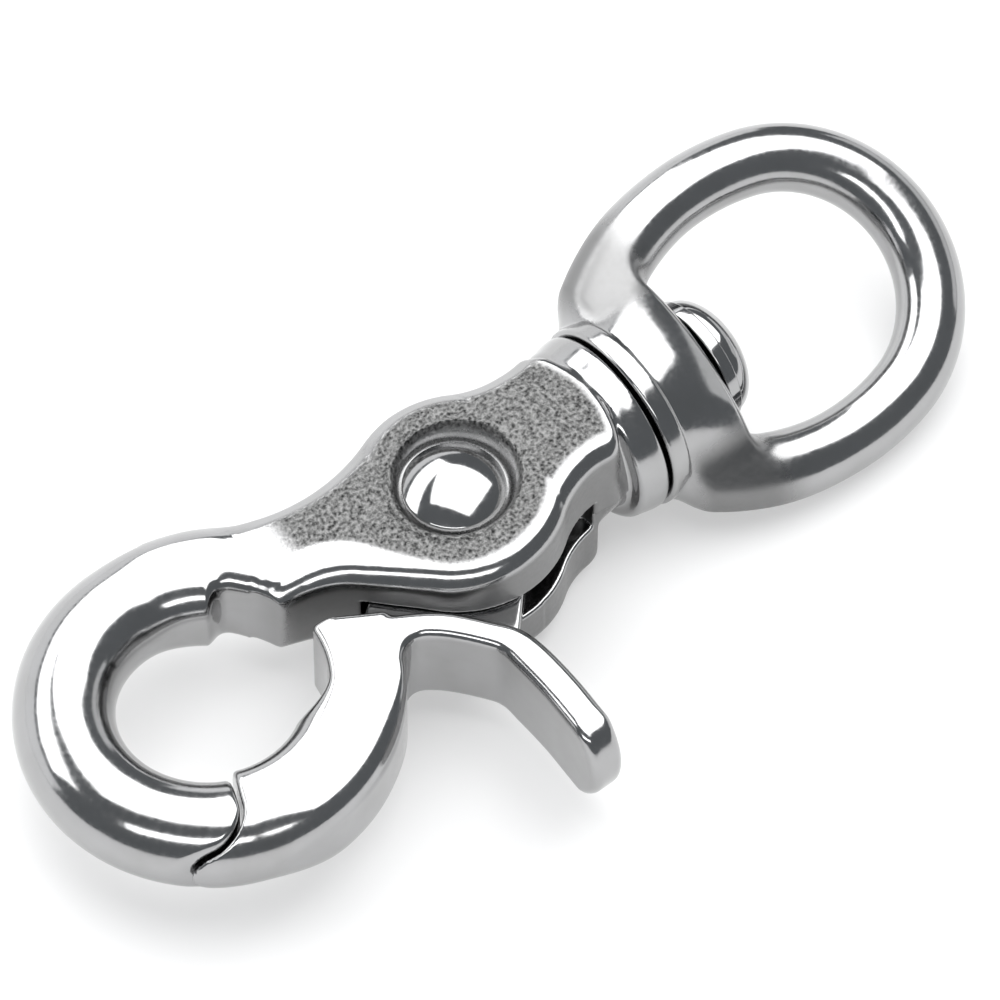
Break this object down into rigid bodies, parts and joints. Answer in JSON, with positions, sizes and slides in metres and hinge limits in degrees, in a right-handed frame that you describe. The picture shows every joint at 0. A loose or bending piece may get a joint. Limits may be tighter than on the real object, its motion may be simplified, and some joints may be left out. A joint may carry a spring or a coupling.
{
  "type": "snap shackle",
  "caption": "Trigger snap hook with a swivel eye: a thumb lever swings part of the hook's loop open against a spring.",
  "frame": {"origin": "centre of the hook's closed loop, half way through its thickness", "axes": "+X along the hook towards the swivel eye, +Z along the axis of the loop, trigger lever on the -Y side"},
  "size_m": [0.0918, 0.0401, 0.0164],
  "materials": {
    "cast_steel": "cast stainless steel, polished borders and loop, fine cast grain on the cheeks",
    "trigger_steel": "polished stainless steel",
    "rivet_steel": "polished stainless steel",
    "spring_steel": "stainless spring wire",
    "eye_steel": "polished stainless steel",
    "stud_steel": "polished stainless steel"
  },
  "bodies": {
    "hook": {"hook_body": "cast_steel", "pivot_rivet": "rivet_steel", "torsion_spring": "spring_steel", "swivel_stud": "stud_steel"},
    "trigger": {"trigger_jaw": "trigger_steel"},
    "eye": {"swivel_eye": "eye_steel"}
  },
  "joints": [
    {"name": "trigger_swing", "type": "hinge", "parent": "hook", "child": "trigger", "pos_m": [0.0259, 0.0014, 0], "axis": [0, 0, 1], "range_deg": [0, 30], "stiffness_Nm_per_rad": 0.1, "springref_deg": -34.38},
    {"name": "eye_swivel", "type": "hinge", "parent": "hook", "child": "eye", "pos_m": [0.0259, 0.0017, 0], "axis": [1, 0, 0], "continuous": true}
  ]
}
